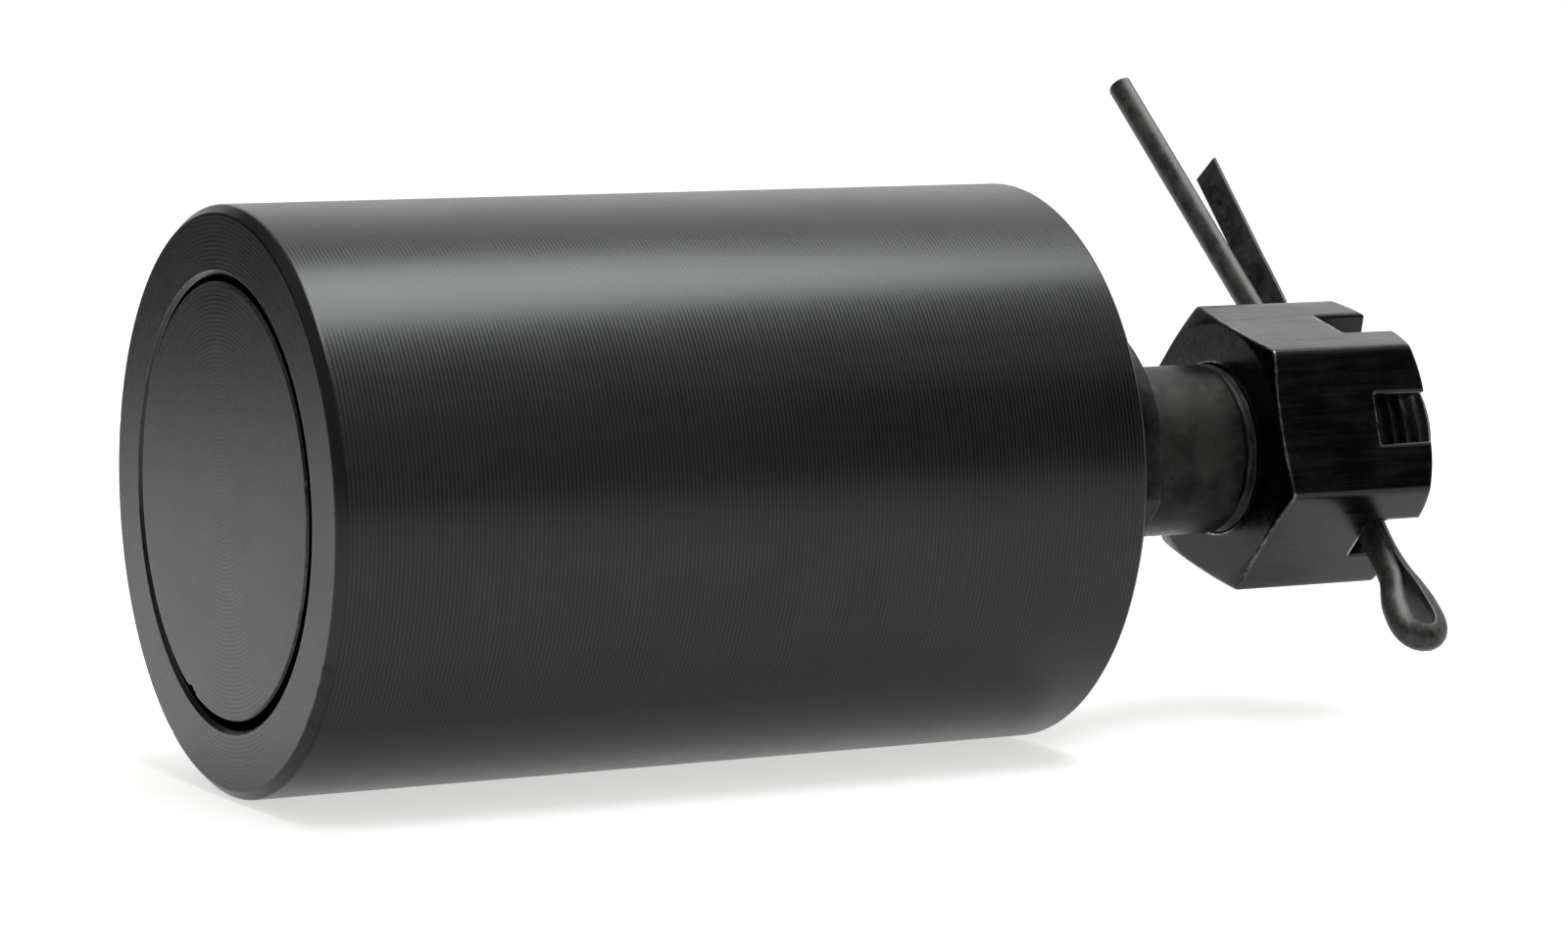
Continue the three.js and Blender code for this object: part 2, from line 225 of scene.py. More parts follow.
def boolean_cut(piece, vertices, faces):
    """Cut a closed tool, given in millimetres, out of a piece and apply the cut."""
    mesh = bpy.data.meshes.new("tool")
    mesh.from_pydata([tuple(v) for v in np.asarray(vertices, float) * MM], [], faces)
    clean(mesh)
    tool = bpy.data.objects.new("tool", mesh)
    bpy.context.scene.collection.objects.link(tool)
    modifier = piece.modifiers.new("cut", "BOOLEAN")
    modifier.object = tool
    modifier.solver = "EXACT"
    bpy.context.view_layer.update()
    result = bpy.data.meshes.new_from_object(piece.evaluated_get(bpy.context.evaluated_depsgraph_get()))
    piece.modifiers.remove(modifier)
    piece.data = result
    bpy.data.objects.remove(tool)
    piece.data.polygons.foreach_set("use_smooth", [True] * len(piece.data.polygons))
    piece.data.set_sharp_from_angle(angle=math.radians(38))


# ---- Materials -----------------------------------------------------------------------------------


def add_node(tree, kind, inputs=(), **settings):
    """Add a shader node; an input's value is a number, a colour or another node's output."""
    made = tree.nodes.new("ShaderNode" + kind)
    for key, value in settings.items():
        setattr(made, key, value)
    for socket, value in dict(inputs).items():
        if isinstance(value, bpy.types.NodeSocket):
            tree.links.new(value, made.inputs[socket])
        else:
            made.inputs[socket].default_value = value
    return made


def maths(tree, operation, *values):
    return add_node(tree, "Math", enumerate(values), operation=operation).outputs[0]


def remap(tree, value, low, high, to_low, to_high):
    inputs = {0: value, 1: low, 2: high, 3: to_low, 4: to_high}
    return add_node(tree, "MapRange", inputs, interpolation_type="SMOOTHSTEP").outputs[0]


def blend_colour(tree, factor, first, second):
    made = add_node(tree, "Mix", data_type="RGBA")
    for socket, value in ((0, factor), (6, first), (7, second)):
        if isinstance(value, bpy.types.NodeSocket):
            tree.links.new(value, made.inputs[socket])
        else:
            made.inputs[socket].default_value = value
    return made.outputs[2]


def noise(tree, vector, scale, detail=3.0, roughness=0.55):
    inputs = {"Vector": vector, "Scale": scale, "Detail": detail, "Roughness": roughness}
    return add_node(tree, "TexNoise", inputs).outputs[0]


def grey(level, tint=(1.0, 1.0, 1.0)):
    return (level * tint[0], level * tint[1], level * tint[2], 1.0)


def position_mm(tree):
    """Place on the piece in millimetres, which turns with it."""
    place = add_node(tree, "TexCoord").outputs["Object"]
    return add_node(tree, "VectorMath", {0: place, 3: 1 / MM}, operation="SCALE").outputs[0]


def turning_marks(tree, place, pitch):
    """Lathe marks of uneven depth, one for each turn: rings on the faces and lines round the barrel."""
    split = add_node(tree, "SeparateXYZ", {0: place}).outputs
    radius = maths(tree, "SQRT", maths(tree, "ADD", maths(tree, "MULTIPLY", split[1], split[1]),
                                       maths(tree, "MULTIPLY", split[2], split[2])))
    along = maths(tree, "SUBTRACT", split[0], radius)
    groove = maths(tree, "SINE", maths(tree, "MULTIPLY", along, 2 * math.pi / pitch))
    unevenness = {"W": along, "Scale": 0.8 / pitch, "Detail": 2.0, "Roughness": 0.6}
    uneven = add_node(tree, "TexNoise", unevenness, noise_dimensions="1D").outputs[0]
    patchy = remap(tree, noise(tree, place, 0.35, 3.0, 0.6), 0.25, 0.75, 0.3, 0.75)
    deep = maths(tree, "MULTIPLY", groove, maths(tree, "MULTIPLY", patchy, 0.5))
    return maths(tree, "ADD", maths(tree, "ADD", deep, 0.35), maths(tree, "MULTIPLY", uneven, 0.3))


def streak_marks(tree, place, stretch, scale):
    """Marks drawn out along the X axis, as a milled or drawn surface has."""
    squeeze = {0: place, 1: (1 / stretch, 1.0, 1.0)}
    drawn = add_node(tree, "VectorMath", squeeze, operation="MULTIPLY").outputs[0]
    return noise(tree, drawn, scale, 4.0, 0.65)


def edge_wear_with_slot_shade(tree, place, width, amount, fade):
    """Where edges are worn bright, within the width. The fade is (from x, to x, share left); past it the
    bright edges are dimmed as painted shade for the nut's slots.
    """
    soft = add_node(tree, "Bevel", {"Radius": width * MM}, samples=6).outputs[0]
    plain = add_node(tree, "NewGeometry").outputs["Normal"]
    match = add_node(tree, "VectorMath", {0: soft, 1: plain}, operation="DOT_PRODUCT").outputs["Value"]
    flat, sharp = 0.995, 0.86
    turn = remap(tree, match, flat, sharp, 0.0, 1.0)
    patchy = remap(tree, noise(tree, place, 1.1, 4.0, 0.7), 0.35, 0.62, 0.15, 1.0)
    along = add_node(tree, "SeparateXYZ", {0: place}).outputs[0]
    reach = remap(tree, along, fade[0], fade[1], amount, amount * fade[2])
    return maths(tree, "MULTIPLY", maths(tree, "MULTIPLY", turn, patchy), reach)


def metal_look(name, dark, light, rough, marks="none", pitch=0.35, marks_depth=2.0, mottle=0.5,
               mottle_depth=3.0, worn=0.22, wear=0.6, wear_width=0.25, tint=(1.0, 1.0, 1.0), metallic=1.0,
               cloud_share=0.6, slot_shade_fade=(0.0, 1.0, 1.0)):
    """Steel with tool marks, specks, clouds of colour and edges worn bright, dimmed along X as painted
    shade in the nut's slots; depths in micrometres.
    """
    material = bpy.data.materials.new(name)
    material.use_nodes = True
    tree = material.node_tree
    shader = tree.nodes["Principled BSDF"]
    place = position_mm(tree)
    speck_scale = 7.0
    cloud = noise(tree, place, mottle, 5.0, 0.62)
    speck = noise(tree, place, speck_scale, 3.0, 0.6)
    if marks == "turned":
        mark = turning_marks(tree, place, pitch)
    elif marks == "streaks":
        mark = streak_marks(tree, place, 14.0, 1 / pitch)
    else:
        mark = noise(tree, place, 2.6, 4.0, 0.7)
    cloudy = maths(tree, "MULTIPLY", remap(tree, cloud, 0.34, 0.66, 0.0, 1.0), cloud_share)
    marked = maths(tree, "MULTIPLY", remap(tree, mark, 0.3, 0.7, 0.0, 1.0), 1 - cloud_share)
    tone = maths(tree, "ADD", cloudy, marked)
    base = blend_colour(tree, tone, grey(dark, tint), grey(light, tint))
    flecks = remap(tree, speck, 0.7, 0.78, 0.0, 0.5)
    flecked = blend_colour(tree, flecks, base, grey(light * 2.2, tint))
    # The bright worn edges fade out along X: painted shade in and round the nut's slots.
    edge_brightness_with_shade = edge_wear_with_slot_shade(tree, place, wear_width, wear, slot_shade_fade)
    tree.links.new(blend_colour(tree, edge_brightness_with_shade, flecked, grey(worn, tint)), shader.inputs["Base Color"])
    shader.inputs["Metallic"].default_value = metallic
    roughness = maths(tree, "ADD", remap(tree, cloud, 0.3, 0.7, rough[0], rough[1]),
                      remap(tree, mark, 0.3, 0.7, -0.04, 0.06))
    tree.links.new(roughness, shader.inputs["Roughness"])
    height = maths(tree, "ADD", maths(tree, "MULTIPLY", mark, marks_depth),
                   maths(tree, "MULTIPLY", maths(tree, "ADD", cloud, speck), mottle_depth))
    bump = add_node(tree, "Bump", {"Height": height, "Distance": 1e-6, "Strength": 1.0})
    tree.links.new(bump.outputs[0], shader.inputs["Normal"])
    return material


def rubber_look(name):
    """Dull black rubber: fine pores and a dusty bloom in patches."""
    material = bpy.data.materials.new(name)
    material.use_nodes = True
    tree = material.node_tree
    shader = tree.nodes["Principled BSDF"]
    place = position_mm(tree)
    bloom = noise(tree, place, 0.45, 5.0, 0.65)
    pores = noise(tree, place, 9.0, 2.0, 0.5)
    dusty = remap(tree, bloom, 0.38, 0.7, 0.0, 1.0)
    colour = blend_colour(tree, dusty, grey(0.008), grey(0.03, (1, 0.98, 0.94)))
    tree.links.new(colour, shader.inputs["Base Color"])
    tree.links.new(remap(tree, bloom, 0.3, 0.7, 0.5, 0.75), shader.inputs["Roughness"])
    bump = add_node(tree, "Bump", {"Height": pores, "Distance": 8e-6, "Strength": 1.0})
    tree.links.new(bump.outputs[0], shader.inputs["Normal"])
    return material


COOL = (0.96, 1.0, 0.985)
WARM = (1.0, 1.0, 0.95)
looks = {
    "roller_black_oxide": metal_look(
        "roller_black_oxide", 0.022, 0.032, (0.29, 0.32), "turned", 0.38, 2.1, mottle=0.14,
        mottle_depth=0.5, worn=0.30, wear=0.7, wear_width=0.35, tint=COOL, cloud_share=0.15),
    # The fade past x 25 dims the bright edges on the slotted end: painted shade for the slots.
    "nut_black_oxide": metal_look(
        "nut_black_oxide", 0.0165, 0.025, (0.2, 0.3), "streaks", 0.55, 7.0, mottle=0.2, mottle_depth=1.0,
        worn=0.7, wear=1.0, wear_width=0.5, cloud_share=0.4, slot_shade_fade=(23.5, 25.0, 0.15)),
    # The fade from the nut's seat on dims the bright thread crests: painted shade where they show in the
    # slots.
    "stud_phosphate": metal_look(
        "stud_phosphate", 0.001, 0.028, (0.34, 0.56), mottle=0.15, marks_depth=1.5, mottle_depth=9.0,
        worn=0.12, wear=0.6, tint=WARM, metallic=0.9, cloud_share=0.85, slot_shade_fade=(13.3, 13.8, 0.1)),
    "pin_steel": metal_look(
        "pin_steel", 0.008, 0.058, (0.34, 0.48), mottle=0.5, marks_depth=1.5, mottle_depth=3.0,
        worn=0.12, wear=0.5, wear_width=0.2, tint=WARM, metallic=0.6),
    "spring_steel": metal_look("spring_steel", 0.08, 0.16, (0.3, 0.42), "streaks", 0.4, 2.0, worn=0.4),
    "shield_steel": metal_look("shield_steel", 0.32, 0.46, (0.24, 0.34), "turned", 0.25, 1.5, worn=0.6),
    "spacer_steel": metal_look("spacer_steel", 0.26, 0.4, (0.34, 0.46), "turned", 0.5, 3.0, worn=0.55),
    "bearing_steel": metal_look(
        "bearing_steel", 0.5, 0.62, (0.1, 0.18), "turned", 0.12, 0.6, mottle_depth=0.4, worn=0.75),
    "cage_brass": metal_look(
        "cage_brass", 0.5, 0.75, (0.26, 0.38), "turned", 0.3, 2.0, worn=0.85, tint=(1.0, 0.74, 0.38)),
    "seal_rubber": rubber_look("seal_rubber"),
}


# ---- Roller: shell, cap, seal --------------------------------------------------------------------


def chip_depths(turn, chips):
    """Depth of small dents round an edge: each chip is (angle in degrees, width in degrees, depth)."""
    depth = 0 * turn
    for centre, width, deep in chips:
        away = np.abs(np.mod(np.degrees(turn) - centre + 180, 360) - 180)
        depth = depth + deep * np.exp(-((away / width) ** 2))
    return depth


def build_shell():
    outline = rounded([
        (SHELL_FRONT, COUNTERBORE_RADIUS + MOUTH_CHAMFER, 0.06),
        (SHELL_FRONT, ROLLER_RADIUS - FRONT_CHAMFER, 0.25),
        (SHELL_FRONT + FRONT_CHAMFER, ROLLER_RADIUS, 0.4),
        (SHELL_REAR - REAR_CHAMFER, ROLLER_RADIUS, 0.2),
        (SHELL_REAR, ROLLER_RADIUS - REAR_CHAMFER, 0.1),
        (SHELL_REAR, BORE_RADIUS, 0.2),
        (REAR_BEARING[0] - FACE_FIT, BORE_RADIUS, 0),
        (REAR_BEARING[0] - FACE_FIT, STEP_RADIUS, 0.2),
        (FRONT_BEARING[1] + FACE_FIT, STEP_RADIUS, 0.2),
        (FRONT_BEARING[1] + FACE_FIT, BORE_RADIUS, 0),
        (RING_GROOVE[1], BORE_RADIUS, 0),
        (RING_GROOVE[1], BORE_RADIUS + SHELL_RING_DEPTH, 0),
        (RING_GROOVE[0], BORE_RADIUS + SHELL_RING_DEPTH, 0),
        (RING_GROOVE[0], BORE_RADIUS, 0),
        (CAP_SEAT, BORE_RADIUS, 0.1),
        (CAP_SEAT, COUNTERBORE_RADIUS, 0),
        (SHELL_FRONT + MOUTH_CHAMFER, COUNTERBORE_RADIUS, 0.05),
    ])
    chips = [(-152, 0.7, 0.16), (-147, 0.5, 0.12), (-139, 0.9, 0.1), (-60, 0.6, 0.09), (12, 0.5, 0.08)]
    reach, rim = 0.8, 1.2

    def dented(x, r, turn):
        at_edge = np.exp(-(((x - SHELL_FRONT) / reach) ** 2)) * (r > ROLLER_RADIUS - rim)
        return r - chip_depths(turn, chips) * at_edge

    vertices, faces = turned(outline, even_angles(360), radius=dented)
    add_piece("turned_shell", vertices, faces, looks["roller_black_oxide"], "roller",
              ["roller_shell"])


def build_cap():
    groove = (SPIGOT_END + CAP_SEAT) / 2
    outline = rounded([
        (SHELL_FRONT, 0, 0),
        (SHELL_FRONT, CAP_RADIUS - CAP_CHAMFER, 0.1),
        (SHELL_FRONT + CAP_CHAMFER, CAP_RADIUS, 0.1),
        (CAP_SEAT - FACE_FIT, CAP_RADIUS, 0.1),
        (CAP_SEAT - FACE_FIT, SPIGOT_RADIUS, 0),
        (groove - O_RING_GROOVE_HALF, SPIGOT_RADIUS, 0),
        (groove - O_RING_GROOVE_HALF, O_RING_GROOVE_RADIUS, 0),
        (groove + O_RING_GROOVE_HALF, O_RING_GROOVE_RADIUS, 0),
        (groove + O_RING_GROOVE_HALF, SPIGOT_RADIUS, 0),
        (SPIGOT_END, SPIGOT_RADIUS, 0.15),
        (SPIGOT_END, CAP_HOLLOW_RADIUS, 0.2),
        (SHELL_FRONT + CAP_WALL, CAP_HOLLOW_RADIUS, 0.6),
        (SHELL_FRONT + CAP_WALL, 0, 0),
    ], closed=False)
    nicks = [(-66.3, 1.5, 0.42), (-69.0, 0.8, 0.2), (40, 0.5, 0.08), (171, 0.7, 0.1)]
    reach, rim = 0.9, 0.5

    def nicked(x, r, turn):
        at_edge = np.exp(-(((x - SHELL_FRONT) / reach) ** 2)) * (r > CAP_RADIUS - rim)
        return r - chip_depths(turn, nicks) * at_edge

    vertices, faces = turned(outline, even_angles(360), closed=False, radius=nicked)
    vertices = vertices + np.array(CAP_SHIFT)
    add_piece("turned_cap", vertices, faces, looks["roller_black_oxide"], "roller",
              ["end_cap"])


def build_o_ring():
    middle = (SPIGOT_END + CAP_SEAT) / 2
    half = O_RING_SECTION / 2
    section = [(middle + half * math.cos(t), O_RING_RADIUS + half * math.sin(t)) for t in even_angles(20)]
    vertices, faces = turned(section, even_angles(144))
    add_piece("moulded_o_ring", vertices, faces, looks["seal_rubber"], "roller",
              ["cap_o_ring"])


def build_seal():
    """The rear seal: a dished outer face, and a lip that clears the stud's shoulder."""
    front, rear = SEAL_ENDS
    lip = COLLAR_RADIUS + 0.2
    outline = rounded([
        (rear, BORE_RADIUS - SEAT_FIT, 0.15),
        (rear, lip + 3.0, 0.25),
        (rear - 0.45, lip + 2.2, 0.3),
        (rear - 0.45, lip + 1.5, 0.3),
        (rear - 0.1, lip + 0.9, 0.3),
        (rear - 0.8, lip, 0.2),
        (rear - 1.8, lip, 0.2),
        (rear - 2.4, lip + 1.4, 0.2),
        (front, lip + 1.4, 0.2),
        (front, BORE_RADIUS - SEAT_FIT, 0.15),
    ])
    vertices, faces = turned(outline, even_angles(180))
    add_piece("moulded_seal", vertices, faces, looks["seal_rubber"], "roller",
              ["rear_seal"])


def race_groove(middle, land, sign):
    """Groove of a race as (x, radius, fillet) corners; the sign is -1 for the inner race."""
    reach = math.acos(sign * (land - PITCH_RADIUS) / GROOVE_RADIUS)
    return [(middle + GROOVE_RADIUS * math.sin(t), PITCH_RADIUS + sign * GROOVE_RADIUS * math.cos(t), 0)
            for t in np.linspace(-reach, reach, 13)]


def build_bearing(place, ends, ball_body):
    """Races and balls of one bearing, finer than in the CAD model, so that they roll without touching."""
    low, high = ends
    middle = (low + high) / 2
    races = (("inner", BEARING_BORE, INNER_LAND, -1, "stud_assembly"),
             ("outer", BEARING_RADIUS, OUTER_LAND, 1, "roller"))
    for kind, seat, land, sign, body in races:
        outline = rounded([(low, seat, 0.25), (low, land, 0.15)] + race_groove(middle, land, sign)
                          + [(high, land, 0.15), (high, seat, 0.25)])
        vertices, faces = turned(outline, even_angles(144))
        add_piece(f"{place}_ground_{kind}_race", vertices, faces, looks["bearing_steel"], body,
                  [f"{place}_bearing_{kind}_race"])
    arc = np.linspace(0, math.pi, 17)
    outline = [(-BALL_RADIUS * math.cos(t), BALL_RADIUS * math.sin(t)) for t in arc]
    vertices, faces = turned(outline, even_angles(32), closed=False)
    for index, turn in enumerate(even_angles(BALL_COUNT)):
        centre = np.array([middle, PITCH_RADIUS * math.cos(turn), PITCH_RADIUS * math.sin(turn)])
        add_piece(f"{place}_polished_ball_{index + 1}", vertices + centre, faces,
                  looks["bearing_steel"], ball_body, [f"{place}_ball_{index + 1}"])


# ---- Stud, nut and pin ---------------------------------------------------------------------------


def stud_radius(x, r, turn):
    """Radius of the stud with its wrench flats and its thread."""
    facing, uncut = 0.3, 99.0
    on_flats = (x > FLAT_START) & (x < 0.01) & (r > STUD_RADIUS + 0.5)
    for side in (0, math.pi):
        across = np.cos(turn - NUT_ANGLE - side)
        flat = np.where(across > facing, FLAT_HALF / np.maximum(across, facing), uncut)
        cut = soft_least(r + 0 * turn, flat + 0 * r, width=0.05)
        r = np.where(on_flats, cut, r + 0 * turn)
    threaded = STUD_RADIUS - THREAD_DEPTH * thread_form(x, turn, THREAD_START)
    on_thread = (x > THREAD_START) & (r > 1)
    return np.where(on_thread, np.minimum(r, threaded), r)


def build_stud():
    start = rounded([
        (STUD_START, 0, 0),
        (STUD_START, STUD_RADIUS - STUD_START_CHAMFER, 0.2),
        (STUD_START + STUD_START_CHAMFER, STUD_RADIUS, 0.2),
        (RING_GROOVE[0], STUD_RADIUS, 0),
        (RING_GROOVE[0], STUD_RADIUS - STUD_RING_DEPTH, 0),
        (RING_GROOVE[1], STUD_RADIUS - STUD_RING_DEPTH, 0),
        (RING_GROOVE[1], STUD_RADIUS, 0),
        (REAR_BEARING[1] + FACE_FIT, STUD_RADIUS, 0),
        (REAR_BEARING[1] + FACE_FIT, INNER_LAND - FACE_FIT, 0.15),
        (COLLAR_START, INNER_LAND - FACE_FIT, 0),
        (COLLAR_START, COLLAR_RADIUS, 0.3),
        (FLAT_START - 0.01, COLLAR_RADIUS, 0),
        (FLAT_START + 0.01, COLLAR_RADIUS, 0),
        (-0.35, COLLAR_RADIUS, 0.2),
        (0, COLLAR_RADIUS - 0.35, 0.15),
        (0, STUD_RADIUS, 0.25),
        (THREAD_START, STUD_RADIUS, 0),
    ], closed=False)
    bevel = STUD_END_CHAMFER
    thread = [(x, STUD_RADIUS) for x in np.arange(THREAD_START + 0.1, STUD_END - bevel, 0.1)]
    chamfer = [(STUD_END - bevel * t, STUD_RADIUS - bevel * (1 - t)) for t in np.linspace(1, 0, 13)]
    end = [(STUD_END, STUD_RADIUS - bevel - 0.1), (STUD_END, STUD_RADIUS - bevel - 0.4), (STUD_END, 0)]
    edges = [NUT_ANGLE + side + sign * math.acos(FLAT_HALF / COLLAR_RADIUS)
             for side in (0, math.pi) for sign in (-1, 1)]
    angles = with_angles(180, edges, (0, 0.3, 0.6, 1.0))
    vertices, faces = turned(start + thread + chamfer + end, angles, closed=False, radius=stud_radius)
    stud = add_piece("machined_stud", vertices, faces, looks["stud_phosphate"], "stud_assembly",
                     ["stud"])
    drill_end = 12
    drill_line = ([(-drill_end, 0)] + [(x, PIN_HOLE_RADIUS) for x in (-drill_end, -8.2, 0, 8.2, drill_end)]
                  + [(drill_end, 0)])
    tool, tool_faces = turned(drill_line, even_angles(40), closed=False)
    boolean_cut(stud, turn_to_nut(tool[:, [1, 0, 2]]), tool_faces)


def turn_to_nut(points):
    """Turn points made with the pin along +Y to the nut's angle, and put them at the pin's place."""
    c, s = math.cos(NUT_ANGLE), math.sin(NUT_ANGLE)
    x, y, z = points[:, 0], points[:, 1], points[:, 2]
    return np.stack([x + PIN_PLACE, y * c - z * s, y * s + z * c], axis=1)


def nut_outer(x, turn):
    """Radius of the nut's outside: six flats, and a cone on each end."""
    local = np.mod(turn - NUT_ANGLE + math.pi / 6, math.pi / 3) - math.pi / 6
    flat = NUT_APOTHEM / np.cos(local)
    next_flat = NUT_APOTHEM / np.cos(math.pi / 3 - np.abs(local))
    seat_cone = NUT_APOTHEM + (x - NUT_SEAT) / NUT_SEAT_RISE
    end_cone = NUT_APOTHEM + (NUT_END - x) / NUT_END_RISE
    six = soft_least(flat + 0 * x, next_flat + 0 * x, width=0.2)
    return soft_least(six, seat_cone + 0 * turn, end_cone + 0 * turn, width=0.12)


def nut_line():
    """Outline of the nut as (x, inset from the outside, radius of a turned place), one of the two None."""
    seat_edge, end_edge, mouth, closed_end = 0.15, 0.6, NUT_MOUTH_CHAMFER, 1.2
    line = []
    for t in np.linspace(0, math.pi / 2, 5):
        line.append((NUT_SEAT + seat_edge * (1 - math.cos(t)), seat_edge * (1 - math.sin(t)), None))
    line += [(NUT_SEAT + x, 0, None) for x in np.arange(0.2, 0.8, 0.06)]
    line += [(x, 0, None) for x in np.linspace(NUT_SEAT + 1, NUT_END - 2, 12)]
    line += [(x, 0, None) for x in np.arange(NUT_END - 1.8, NUT_END - end_edge, 0.1)]
    for t in np.linspace(math.pi / 2, 0, 7):
        line.append((NUT_END - end_edge * (1 - math.cos(t)), end_edge * (1 - math.sin(t)), None))
    line += [(NUT_END, end_edge + 0.1, None), (NUT_END, None, NUT_BORE + mouth + 0.1)]
    line += [(NUT_END, None, NUT_BORE + mouth), (NUT_END - mouth, None, NUT_BORE)]
    line += [(x, None, NUT_BORE) for x in np.arange(NUT_END - mouth - 0.12, NUT_SEAT + 1.3, -0.12)]
    line += [(NUT_SEAT + x, None, STUD_RADIUS + SEAT_FIT) for x in (closed_end, 0.1)]
    line += [(NUT_SEAT, None, STUD_RADIUS + 0.16), (NUT_SEAT, None, NUT_BORE + 0.2)]
    line += [(NUT_SEAT, seat_edge + 0.1, None)]
    return line


def slot_tool():
    """One cutter: a slot whose mouth is flared, so that the slot's edges come out rounded."""
    flare, floor = 0.4, 0.35
    out = np.array([6.3, 9.0, NUT_APOTHEM - 0.6] + [NUT_APOTHEM - flare * (1 - k / 5) for k in range(6)]
                   + [NUT_APOTHEM + 2.5])
    up = np.array([SLOT_BOTTOM + floor * (1 - math.cos(t)) for t in np.linspace(0, math.pi / 2, 6)]
                  + [NUT_END - flare - 0.1]
                  + [NUT_END - flare * (1 - k / 5) for k in range(6)] + [NUT_END + 1])

    def round_off(depth):
        inside = np.clip(flare - depth, 0, flare)
        return flare - np.sqrt(np.maximum(flare ** 2 - inside ** 2, 0))

    over_floor = np.clip(floor - (up - SLOT_BOTTOM), 0, floor)
    narrow = floor - np.sqrt(np.maximum(floor ** 2 - over_floor ** 2, 0))
    half = SLOT_HALF + round_off(NUT_APOTHEM - out)[None, :] + (round_off(NUT_END - up) - narrow)[:, None]
    rows, columns = half.shape
    x = np.repeat((up - PIN_PLACE)[:, None], columns, axis=1)
    y = np.repeat(out[None, :], rows, axis=0)
    right = np.stack([x, y, half], axis=2).reshape(-1, 3)
    left = np.stack([x, y, -half], axis=2).reshape(-1, 3)
    count = rows * columns
    faces = []
    for i in range(rows - 1):
        for j in range(columns - 1):
            a = i * columns + j
            quad = (a, a + 1, a + columns + 1, a + columns)
            faces += [quad, tuple(count + q for q in reversed(quad))]
    rim = ([j for j in range(columns)] + [i * columns + columns - 1 for i in range(1, rows)]
           + [(rows - 1) * columns + j for j in range(columns - 2, -1, -1)]
           + [i * columns for i in range(rows - 2, 0, -1)])
    for a, b in zip(rim, rim[1:] + rim[:1]):
        faces.append((a, count + a, count + b, b))
    return np.concatenate([right, left]), faces


def build_nut():
    line = nut_line()
    corners = [NUT_ANGLE + math.pi / 6 + k * math.pi / 3 for k in range(6)]
    angles = with_angles(144, corners, (0, 0.3, 0.6, 0.9, 1.3, 1.8))
    turn = angles[None, :]
    x = np.array([p[0] for p in line])[:, None]
    outside = nut_outer(x, turn)
    rows = []
    thread_depth = 0.55
    for i, (_, inset, plain) in enumerate(line):
        if plain is None:
            rows.append(outside[i] - inset)
        elif plain == NUT_BORE:
            rows.append(NUT_BORE + thread_depth * thread_form(x[i] + 0 * angles, angles, 0))
        else:
            rows.append(plain + 0 * angles)
    r = np.array(rows)
    grid = np.stack([x + 0 * r, r * np.cos(turn), r * np.sin(turn)], axis=2).reshape(-1, 3)
    nut = add_piece("machined_nut", grid, sheet_faces(len(line), len(angles), True),
                    looks["nut_black_oxide"], "stud_assembly", ["slotted_nut"])
    one, one_faces = slot_tool()
    tools, tool_faces = [], []
    for side in range(6):
        c, s = math.cos(side * math.pi / 3), math.sin(side * math.pi / 3)
        tools.append(np.stack([one[:, 0], one[:, 1] * c - one[:, 2] * s,
                               one[:, 1] * s + one[:, 2] * c], axis=1))
        tool_faces += [tuple(v + side * len(one) for v in face) for face in one_faces]
    boolean_cut(nut, turn_to_nut(np.concatenate(tools)), tool_faces)


def pin_points():
    """The wire's flat face as (distance along the pin, distance across it), from long tip to short tip."""
    gap, bend, neck, eye = 0.1, STUD_RADIUS + 0.6, -(NUT_APOTHEM + 3.2), 10.1
    eye_end, eye_half = neck - eye + 1.75, 1.05

    def long_leg(along):
        return (along, -gap - 0.093 * (along - bend))

    near = [(neck - 0.5, -gap), (neck - 2.2, -0.25), (neck - 3.9, -0.7), (neck - 5.6, -eye_half)]
    far = [(neck - 5.4, eye_half), (neck - 3.0, 0.75), (neck - 1.4, 0.35), (neck, gap)]
    round_end = [(eye_end + eye_half * (1 - math.cos(t)), eye_half * math.sin(t))
                 for t in np.radians(np.linspace(-80, 80, 9))]
    return ([long_leg(a) for a in (47.2, 40, 33, 26, 18, 12)] + [(bend - 2, -gap), (0, -gap), (-8, -gap)]
            + near + round_end + far + [(-8, gap), (0, gap), (bend - 2, gap), (bend + 3, gap + 0.38),
                                        (bend + 8, gap + 0.85), (24, gap + 0.85), (36.4, gap + 0.85)])


def smooth_line(points, spacing):
    """Smooth line through the points, with its own length as the parameter; closer steps at both tips."""
    p = np.array(points, float)
    step = np.linalg.norm(np.diff(p, axis=0), axis=1)
    s = np.concatenate([[0], np.cumsum(step)])
    slope = np.gradient(p, s, axis=0)
    tips = np.array([0, 0.06, 0.2, 0.45])
    at = np.concatenate([tips, np.arange(1.0, s[-1] - 0.7, spacing), s[-1] - tips[::-1]])
    i = np.clip(np.searchsorted(s, at, side="right") - 1, 0, len(step) - 1)
    h = step[i][:, None]
    t = ((at - s[i]) / step[i])[:, None]
    return ((2 * t ** 3 - 3 * t ** 2 + 1) * p[i] + (t ** 3 - 2 * t ** 2 + t) * h * slope[i]
            + (3 * t ** 2 - 2 * t ** 3) * p[i + 1] + (t ** 3 - t ** 2) * h * slope[i + 1])


def pin_section():
    """Half-round section of the wire: (distance from its flat face, distance across it)."""
    arc = [(PIN_RADIUS * math.cos(t), PIN_RADIUS * math.sin(t))
           for t in np.radians(np.linspace(-82, 82, 19))]
    return np.array([(0.02, -1.38), (0.08, -1.42)] + arc
                    + [(0.08, 1.42), (0.02, 1.38), (0, 1.28), (0, 0.6), (0, -0.6), (0, -1.28)])


